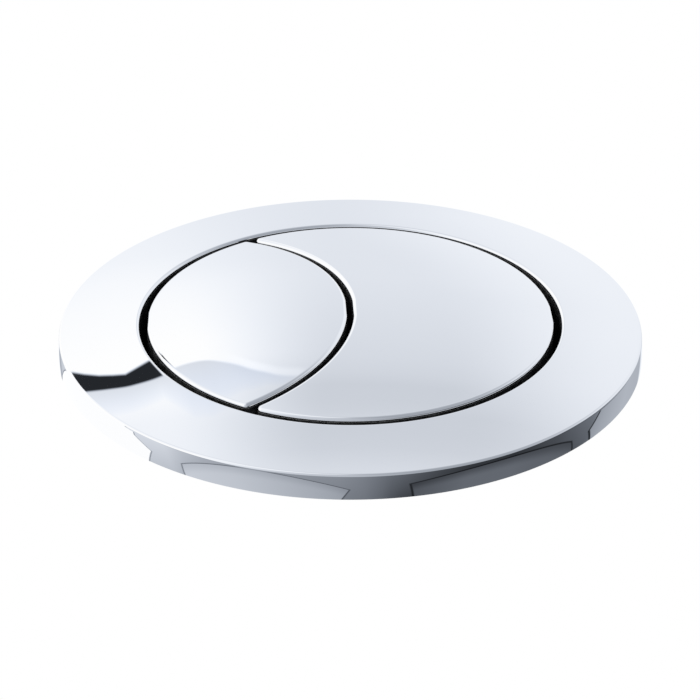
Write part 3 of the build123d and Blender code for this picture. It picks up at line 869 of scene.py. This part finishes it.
def make_housing():
    """The barrel with its thread, flange, counterbored mouth, snap windows and ledge."""
    mouth_bottom_z = -LIP_DEPTH - SNAP_CLEARANCE
    window_top_z = SNAP_TOP_Z + SNAP_CLEARANCE
    bevel = THREAD_DEPTH / 2
    groove_bottom_z = -LIP_DEPTH - RELIEF_WIDTH
    ledge_bottom_z = FLOOR_BOTTOM_Z - LEDGE_HEIGHT
    outer_window = (BARREL_R, SNAP_BOTTOM_Z)
    inner_window = (COUNTERBORE_R, window_top_z)
    corners = [
        (BARREL_R, groove_bottom_z - bevel),
        (THREAD_ROOT_R, groove_bottom_z),
        (THREAD_ROOT_R, -LIP_DEPTH - bevel),
        (BARREL_R, -LIP_DEPTH),
        outer_window,
        (BARREL_R, window_top_z),
        (BARREL_R, GASKET_THICKNESS),
        (FLANGE_R, GASKET_THICKNESS),
        (FLANGE_R, FLANGE_TOP_Z),
        (COUNTERBORE_R, FLANGE_TOP_Z),
        inner_window,
        (COUNTERBORE_R, SNAP_BOTTOM_Z),
        (COUNTERBORE_R, mouth_bottom_z),
        (OPENING_R, mouth_bottom_z),
        (OPENING_R, FLOOR_BOTTOM_Z),
        (LEDGE_R, FLOOR_BOTTOM_Z),
        (LEDGE_R, ledge_bottom_z),
        (OPENING_R, ledge_bottom_z - LEDGE_WIDTH),
        (OPENING_R, -BARREL_DEPTH),
        (BARREL_R - BARREL_CHAMFER, -BARREL_DEPTH),
        (BARREL_R, BARREL_CHAMFER - BARREL_DEPTH),
    ]
    outer = corners.index(outer_window)
    inner = corners.index(inner_window)
    step = 360 / HOUSING_STEPS
    width = round(WINDOW_ARC / step)
    firsts = [round((angle - WINDOW_ARC / 2) / step) for angle in SNAP_ANGLES]
    columns = {first + k for first in firsts for k in range(width)}
    shell = Shell()
    rows, end = turn(shell, straight(*corners), HOUSING_STEPS, {outer: columns, inner: columns}, False)
    threaded(shell, end, rows[0], THREAD_DEPTH, THREAD_PITCH, even_angles(HOUSING_STEPS), THREAD_ROWS)
    edges = ((rows[outer], rows[outer + 1]), (rows[inner + 1], rows[inner]))
    for first in firsts:
        here = slice(first, first + width + 1)
        reveal(shell, *(low[here] + high[here][::-1] for low, high in edges))
    lug_z = FLOOR_TOP_Z + SNAP_CLEARANCE
    lug = [(OPENING_R - LUG_REACH, lug_z), (WALL_MIDDLE_R, lug_z)]
    lug += [(WALL_MIDDLE_R, lug_z + LUG_HEIGHT), (OPENING_R, lug_z + LUG_HEIGHT)]
    for angle in SNAP_ANGLES:
        wedge(shell, lug, angle, LUG_ARC)
    key_x, key_y = KEY_WIDTH / 2, OPENING_R - KEY_REACH
    key = [(-key_x, key_y), (-key_x, WALL_MIDDLE_R), (key_x, WALL_MIDDLE_R), (key_x, key_y)]
    ends = (FLOOR_BOTTOM_Z, FLOOR_TOP_Z)
    loft(shell, [shell.row([Vector((x, y, z)) for x, y in key]) for z in ends])
    shell.piece("threaded_barrel", BLACK, "housing_unit", "housing")


def make_flat_ring(name, inner_r, outer_r, bottom_z, top_z, body, node):
    """A flat rubber ring with softened edges."""
    r = RUBBER_ROUND
    low, high, near, far = bottom_z + r, top_z - r, inner_r + r, outer_r - r
    runs = [
        arc((far, low), r, -90, 0),
        *straight((outer_r, low), (outer_r, high)),
        arc((far, high), r, 0, 90),
        *straight((far, top_z), (near, top_z)),
        arc((near, high), r, 90, 180),
        *straight((inner_r, high), (inner_r, low)),
        arc((near, low), r, 180, 270),
        *straight((near, bottom_z), (far, bottom_z)),
    ]
    shell = Shell()
    turn(shell, runs)
    shell.piece(name, RUBBER, body, node)


def nut_outline():
    """Plan of the hand nut: lobes on a round body, with a small fillet at each root."""
    body_r = NUT_BORE_R + NUT_WALL
    pitch = 360 / NUT_LOBES
    lobe = Vector((body_r, 0))
    root = circles_cross(AXIS, body_r + NUT_ROOT_R, lobe, NUT_LOBE_R + NUT_ROOT_R, 1)
    root_at = heading(AXIS, root)
    lean = heading(lobe, root)
    next_root = polar(pitch - root_at, root.length).xy
    one = arc(lobe, NUT_LOBE_R, -lean, lean, 2 * ROUND_STEPS)
    one += arc(root, NUT_ROOT_R, 180 + lean, 180 + root_at)[1:]
    one += arc(AXIS, body_r, root_at, pitch - root_at)[1:]
    one += arc(next_root, NUT_ROOT_R, 180 + pitch - root_at, 180 + pitch - lean)[1:-1]
    plan = []
    for k in range(NUT_LOBES):
        turned = Matrix.Rotation(math.radians(pitch * k), 2)
        plan += [(turned @ p, turned @ n) for p, n in one]
    return plan


def make_lock_nut():
    """The lobed hand nut with rounded edges and its inner thread."""
    plan = nut_outline()
    angles = [math.degrees(math.atan2(p.y, p.x)) for p, _ in plan]
    shell = Shell()
    rows, normals = [], []
    for middle_z, start in ((NUT_BOTTOM_Z + NUT_ROUND, -90), (NUT_TOP_Z - NUT_ROUND, 0)):
        for edge, out in arc((-NUT_ROUND, middle_z), NUT_ROUND, start, start + 90):
            rows.append(shell.row([Vector((*(p + n * edge.x), edge.y)) for p, n in plan]))
            normals.append([Vector((*(n * out.x), out.y)) for _, n in plan])
    for k in range(len(rows) - 1):
        shell.strip(rows[k], rows[k + 1], normals[k], normals[k + 1])
    bore = [(NUT_BORE_R, NUT_TOP_Z), (NUT_BORE_R, NUT_BOTTOM_Z + NUT_ROUND)]
    bore.append((NUT_BORE_R + NUT_ROUND, NUT_BOTTOM_Z))
    top, low, chamfer = [shell.row([polar(a, r, z) for a in angles]) for r, z in bore]
    shell.strip(rows[-1], top, UP)
    threaded(shell, top, low, -NUT_THREAD_DEPTH, THREAD_PITCH, angles, THREAD_ROWS)
    shell.strip(low, chamfer)
    shell.strip(chamfer, rows[0], DOWN)
    shell.piece("hand_nut_lobed", WHITE, "hand_nut", "lock_nut")


def moved(shell, x):
    """Shifts a finished shell along X, to its button's stem."""
    shell.points = [p + Vector((x, 0, 0)) for p in shell.points]
    return shell


def make_spring(button, x):
    """A coil of round wire with a closed turn at each end."""
    low_z = FLOOR_TOP_Z + SPRING_WIRE_R + SPRING_SEAT_GAP
    rise = PLATE_BOTTOM_Z - SPRING_WIRE_R - SPRING_SEAT_GAP - low_z
    count = round(SPRING_TURNS * SPRING_STEPS)
    slopes = []
    for k in range(count):
        t = k / SPRING_STEPS
        open_share = smooth(t - SPRING_CLOSED / 2) * smooth(SPRING_TURNS - SPRING_CLOSED / 2 - t)
        slopes.append(SPRING_CLOSED_SLOPE + (1 - SPRING_CLOSED_SLOPE) * open_share)
    scale = rise / sum(slopes)
    wire = arc((SPRING_R, 0), SPRING_WIRE_R, 0, 360, WIRE_STEPS)[:-1]
    shell = Shell()
    rows = []
    z = low_z
    for k in range(count + 1):
        out = polar(360 * k / SPRING_STEPS, 1)
        rows.append(shell.row([out * p.x + UP * (z + p.y) for p, _ in wire]))
        z += slopes[min(k, count - 1)] * scale
    for here, there in zip(rows, rows[1:]):
        shell.strip(there, here)
    shell.flat_face(rows[0])
    shell.flat_face(rows[-1][::-1])
    coil = moved(shell, x).piece(f"{button}_coil", STEEL, "housing_unit", f"{button}_spring")
    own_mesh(coil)


def make_rod(button, x):
    """A threaded push rod with bevelled ends."""
    shell = Shell()
    tip_r = ROD_R - ROD_POINT
    ends = [(ROD_R, ROD_TOP_Z - ROD_POINT), (tip_r, ROD_TOP_Z)]
    ends += [(tip_r, ROD_BOTTOM_Z), (ROD_R, ROD_BOTTOM_Z + ROD_POINT)]
    top, tip, foot, low = [shell.row(circle(r, z, ROD_STEPS)) for r, z in ends]
    shell.strip(top, tip)
    shell.strip(foot, low)
    shell.flat_face(tip)
    shell.flat_face(foot[::-1])
    threaded(shell, low, top, ROD_THREAD_DEPTH, ROD_PITCH, even_angles(ROD_STEPS), ROD_THREAD_ROWS)
    moved(shell, x).piece(f"{button}_threaded_rod", STEEL, f"{button}_button", f"{button}_rod")


def make_rod_nut(button, x):
    """A hexagon nut with bevelled corners."""
    shell = Shell()
    side = 360 / HEX_SIDES
    steps = HEX_SIDES * HEX_STEPS
    angles = even_angles(steps)
    flats_r = ROD_NUT_FLATS / 2
    bevel_r = flats_r * HEX_BEVEL_SHARE
    lean = math.radians(HEX_BEVEL)
    reaches = [flats_r / math.cos(math.radians(a % side - side / 2)) for a in angles]
    rows = []
    for end_z, way in ((STEM_BOTTOM_Z - ROD_NUT_HEIGHT, -1), (STEM_BOTTOM_Z, 1)):
        slope = way * math.tan(lean)
        edge = [polar(a, r, end_z - slope * (r - bevel_r)) for a, r in zip(angles, reaches)]
        rings = [circle(r, end_z, steps) for r in (bevel_r, ROD_BORE_R)]
        rows += [shell.row(points) for points in (edge, *rings)]
    low_edge, low, bore_low, high_edge, high, bore_high = rows
    cone = [polar(a, math.sin(lean), math.cos(lean)) for a in angles]
    for k in range(steps):
        n = (k + 1) % steps
        shell.flat_face([low_edge[k], low_edge[n], high_edge[n], high_edge[k]])
    shell.strip(high_edge, high, cone)
    shell.strip(high, bore_high, UP)
    shell.strip(bore_high, bore_low, [polar(a, -1) for a in angles])
    shell.strip(bore_low, low, DOWN)
    shell.strip(low, low_edge, [n * Vector((1, 1, -1)) for n in cone])
    moved(shell, x).piece(f"{button}_hex_nut", STEEL, f"{button}_button", f"{button}_rod_nut")


def make_rod_foot(button, x):
    """A blunt rubber foot with rounded edges and a blind bore."""
    bottom_z = ROD_BOTTOM_Z - FOOT_FLOOR
    top_z = bottom_z + FOOT_HEIGHT
    flat_r = FOOT_R - FOOT_ROUND
    runs = [
        arc((flat_r, bottom_z + FOOT_ROUND), FOOT_ROUND, -90, 0),
        *straight((FOOT_R, bottom_z + FOOT_ROUND), (FOOT_R, top_z - FOOT_ROUND)),
        arc((flat_r, top_z - FOOT_ROUND), FOOT_ROUND, 0, 90),
        *straight((flat_r, top_z), (ROD_BORE_R, top_z), (ROD_BORE_R, ROD_BOTTOM_Z)),
    ]
    shell = Shell()
    rows, end = turn(shell, runs, FOOT_STEPS, closed=False)
    shell.flat_face(rows[0][::-1])
    shell.flat_face(end)
    moved(shell, x).piece(f"{button}_foot", RUBBER, f"{button}_button", f"{button}_rod_foot")


make_bezel()
make_cap("half_flush", -1, LENS_TIP_R)
make_cap("full_flush", 1, HORN_TIP_R)
make_housing()
make_flat_ring("lid_seal", GASKET_R, FLANGE_R, 0, GASKET_THICKNESS, "housing_unit", "lid_gasket")
make_flat_ring(
    "clamp_seal", NUT_BORE_R, CLAMP_WASHER_R, NUT_TOP_Z, -LID_THICKNESS, "clamp_ring", "clamp_washer"
)
make_lock_nut()
finishes = {"guide_plate": BLACK}
for button, stem_x in (("half_flush", -STEM_X), ("full_flush", STEM_X)):
    make_spring(button, stem_x)
    make_rod(button, stem_x)
    make_rod_nut(button, stem_x)
    make_rod_foot(button, stem_x)
    finishes[f"{button}_carrier"] = BLACK
    finishes[f"{button}_stop_washer"] = STEEL
    finishes[f"{button}_clip"] = STEEL
for node, finish in finishes.items():
    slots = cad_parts[node].data.materials
    slots.clear()
    slots.append(finish["material"])


# Studio: what the chrome mirrors, the floor, the lights and the camera

def studio_turn():
    """The studio's turn about the part's axis."""
    return Matrix.Rotation(math.radians(STUDIO_TURN), 4, "Z")


def bare_material(name):
    """A material with an empty graph."""
    material = bpy.data.materials.new(name)
    material.use_nodes = True
    material.node_tree.nodes.clear()
    return material, Graph(material.node_tree)


def make_floor():
    """A pale floor round the bezel, which a low camera sees through from below."""
    material, graph = bare_material("floor_white")
    front = graph.add("ShaderNodeEmission", (1, 1, 1, 1)).outputs[0]
    back = graph.add("ShaderNodeBsdfTransparent").outputs[0]
    behind = graph.add("ShaderNodeNewGeometry").outputs["Backfacing"]
    graph.add("ShaderNodeOutputMaterial", graph.add("ShaderNodeMixShader", behind, front, back).outputs[0])
    shell = Shell()
    turn(shell, straight((FLOOR_R, FLOOR_Z), (FLOOR_HOLE_R, FLOOR_Z)), FLOOR_STEPS, closed=False)
    floor = new_object("floor", shell.points, shell.faces, material)
    floor.visible_glossy = False


def tinted(graph, level):
    """A grey as a colour that is a little blue between black and white."""
    rise = graph.less(1.0, graph.math("POWER", graph.less(1.0, level), TINT_RISE))
    fall = graph.less(1.0, graph.math("POWER", level, TINT_FALL))
    share = graph.times(rise, fall)
    red = graph.math("MULTIPLY_ADD", share, -TINT_RED, level)
    blue = graph.math("MULTIPLY_ADD", share, TINT_BLUE, level)
    return graph.add("ShaderNodeCombineColor", red, level, blue).outputs[0]


def make_reflection_card():
    """A sheet seen only in the chrome, on its lower left: a painted reflection, clear but for a dark
    stripe, a grey wave and a glint.
    """
    material, graph = bare_material("painted_reflection_card")
    place = graph.add("ShaderNodeTexCoord").outputs["Object"]
    metres = graph.add("ShaderNodeSeparateXYZ", place).outputs
    x, z = (graph.math("DIVIDE", metres[k], MM) for k in (0, 2))
    above = graph.less(z, graph.ramp(x, WAVE_LINE, "CARDINAL"))
    past = graph.span(graph.math("DIVIDE", above, graph.ramp(x, WAVE_SOFT)), -1.0, 1.0)
    reach = graph.math("DIVIDE", above, graph.ramp(x, WAVE_FADE))
    fade = graph.span(reach, 0.0, 1.0, 1.0, 0.0, "LINEAR")
    shade = graph.times(graph.less(1.0, graph.ramp(x, WAVE_PASS)), past, fade)
    end_x, end_z = STRIPE_END
    end = graph.math("MULTIPLY_ADD", graph.less(z, end_z), STRIPE_LEAN, end_x)
    stripe = graph.times(
        graph.span(graph.less(z, graph.ramp(x, STRIPE_FOOT)), -STRIPE_FOOT_SOFT, STRIPE_FOOT_SOFT),
        graph.span(above, STRIPE_TOP_SOFT, -STRIPE_TOP_SOFT),
        graph.span(graph.less(end, x), -STRIPE_END_SOFT, STRIPE_END_SOFT),
    )
    clear = graph.blend(stripe, graph.less(1.0, shade), STRIPE_PASS)
    behind = graph.add("ShaderNodeNewGeometry").outputs["Backfacing"]
    colour = tinted(graph, graph.blend(behind, clear, 1.0))
    glint = graph.times(
        graph.span(above, *GLINT_FOOT),
        graph.span(above, *GLINT_TOP),
        graph.span(x, *GLINT_START),
        graph.span(x, *GLINT_END),
        GLINT,
    )
    shine = graph.add("ShaderNodeEmission", (1, 1, 1, 1), glint).outputs[0]
    sheer = graph.add("ShaderNodeBsdfTransparent", colour).outputs[0]
    graph.add("ShaderNodeOutputMaterial", graph.add("ShaderNodeAddShader", sheer, shine).outputs[0])
    (left, low), (right, high) = REFLECTION_CARD_BOX
    corners = ((left, low), (right, low), (right, high), (left, high))
    points = [Vector((x, REFLECTION_CARD_Y, z)) for x, z in corners]
    card = new_object("painted_reflection_card", points, [(0, 1, 2, 3)], material)
    card.matrix_world = studio_turn()
    # Hidden from all rays but reflections: a painted reflection
    for ray in ("camera", "diffuse", "shadow", "transmission", "volume_scatter"):
        setattr(card, f"visible_{ray}", False)


def upright(graph, el, az, corner_el, lean_below, lean_above):
    """A panel's side, as an azimuth that changes with the elevation."""
    rise = graph.less(el, corner_el)
    below = graph.times(graph.math("MINIMUM", rise, 0.0), lean_below)
    above = graph.times(graph.math("MAXIMUM", rise, 0.0), lean_above)
    return graph.math("ADD", graph.math("ADD", below, above), az)


def arched(graph, front, middle, half, peak, drop):
    """A panel's upper edge, as an elevation that arches over the azimuth."""
    share = graph.math("DIVIDE", graph.less(front, middle), half)
    return graph.less(peak, graph.times(share, share, drop))


def panel(graph, level, front, el, tone, edge, left, right=None, core=None, arch=None, shade=1.0):
    """Lays a tall panel with a thin dark line round it over a level.

    Its sides keep clear of core, and shade is the share of its tone that is left under its arch.
    """
    width, keep = edge
    if isinstance(tone, tuple):
        tone = graph.ramp(front, tone)
    start = upright(graph, el, *left)
    if core:
        start = graph.math("MINIMUM", start, core[0])
    inside = graph.math("DIVIDE", graph.less(front, start), width)
    if right:
        end = upright(graph, el, *right)
        if core:
            end = graph.math("MAXIMUM", end, core[1])
        inside = graph.math("MINIMUM", inside, graph.math("DIVIDE", graph.less(end, front), width))
    if arch:
        under = graph.less(arched(graph, front, *arch), el)
        inside = graph.math("MINIMUM", inside, graph.math("DIVIDE", under, width * TOP_EDGE))
        tone = graph.times(tone, graph.span(under, 0.0, TOP_SHADE_EL, shade, 1.0))
    lined = graph.blend(graph.span(inside, *EDGE_OUTSIDE), level, graph.times(level, keep))
    return graph.blend(graph.span(inside, *EDGE_INSIDE), lined, tone)


def low_room(graph, front, el):
    """What the upright wall of the bezel mirrors: the room below the horizon, with four tall panels."""
    foot = graph.ramp(front, LOW_ROOM_FOOT)
    rising = graph.span(el, *LOW_ROOM_EL, foot, LOW_ROOM_TOP, "LINEAR")
    level = graph.times(graph.ramp(front, LOW_ROOM), rising)
    for one in (WHITE_PANEL, LEFT_PANEL, RIGHT_PANEL, THIRD_PANEL):
        level = panel(graph, level, front, el, **one)
    return level


def back_wall(graph, az, el):
    """What the domes mirror: a wall behind the part that is white at its left and grey in its middle."""
    beyond = graph.less(az, graph.ramp(el, WALL_RIGHT_EDGE))
    right = graph.span(beyond, -WALL_RIGHT_SOFT, WALL_RIGHT_SOFT)
    level = graph.blend(right, graph.ramp(el, WALL_MIDDLE), graph.ramp(el, WALL_RIGHT))
    off = graph.math("ADD", az, graph.span(el, *WALL_LEFT_TURN_EL, 0.0, WALL_LEFT_TURN))
    return graph.blend(graph.span(off, *WALL_LEFT_EDGE), level, graph.ramp(el, WALL_LEFT))


def make_world():
    """White to the camera, and the studio to all else."""
    world = bpy.data.worlds.new("studio")
    bpy.context.scene.world = world
    world.use_nodes = True
    world.node_tree.nodes.clear()
    graph = Graph(world.node_tree)
    place = graph.add("ShaderNodeTexCoord").outputs["Generated"]
    back = -math.radians(STUDIO_TURN)
    turned = graph.add("ShaderNodeVectorRotate", place, None, None, back, rotation_type="Z_AXIS")
    x, y, z = graph.add("ShaderNodeSeparateXYZ", turned.outputs[0]).outputs
    el = graph.math("DEGREES", graph.math("ARCSINE", z))
    az = graph.math("DEGREES", graph.math("ARCTAN2", x, y))
    front = graph.math("DEGREES", graph.math("ARCTAN2", x, graph.times(y, -1.0)))
    lift = graph.span(el, *OVERHEAD_EL)
    sky = graph.blend(lift, graph.ramp(front, HORIZON), graph.ramp(front, OVERHEAD))
    side = graph.span(graph.math("ABSOLUTE", az), *WALL_SIDE)
    wall = graph.times(side, graph.span(el, *WALL_FOOT), graph.span(el, *WALL_TOP))
    high = graph.blend(wall, sky, back_wall(graph, az, el))
    over = graph.less(el, graph.ramp(front, HORIZON_EL))
    level = graph.blend(graph.span(over, 0.0, HORIZON_SOFT), low_room(graph, front, el), high)
    studio = graph.add("ShaderNodeBackground", tinted(graph, level), STUDIO_STRENGTH).outputs[0]
    white = graph.add("ShaderNodeBackground", (1, 1, 1, 1), 1.0).outputs[0]
    seen = graph.add("ShaderNodeLightPath").outputs["Is Camera Ray"]
    mix = graph.add("ShaderNodeMixShader", seen, studio, white).outputs[0]
    graph.add("ShaderNodeOutputWorld", mix)


def make_light(name, place, power):
    """A soft light that looks at the part and stays out of the chrome."""
    data = bpy.data.lights.new(name, "AREA")
    data.size = LIGHT_SIZE * MM
    data.energy = power
    light = bpy.data.objects.new(name, data)
    light.location = place * MM
    light.rotation_euler = (LIGHT_TARGET - place).to_track_quat("-Z", "Y").to_euler()
    light.visible_glossy = False
    bpy.context.scene.collection.objects.link(light)


def make_camera():
    data = bpy.data.cameras.new("camera")
    data.lens = CAMERA_LENS
    camera = bpy.data.objects.new("camera", data)
    lift = math.radians(CAMERA_ELEVATION)
    back = Vector((0, -math.cos(lift), math.sin(lift)))
    place = (CAMERA_TARGET + back * CAMERA_DISTANCE) * MM
    look = (-back).to_track_quat("-Z", "Y")
    camera.matrix_world = studio_turn() @ Matrix.LocRotScale(place, look, None)
    bpy.context.scene.collection.objects.link(camera)
    bpy.context.scene.camera = camera


make_floor()
make_reflection_card()
make_world()
make_light("key_light", KEY_LIGHT, KEY_POWER)
make_light("low_light", LOW_LIGHT, LOW_POWER)
make_camera()
bpy.context.scene.view_settings.view_transform = "Standard"
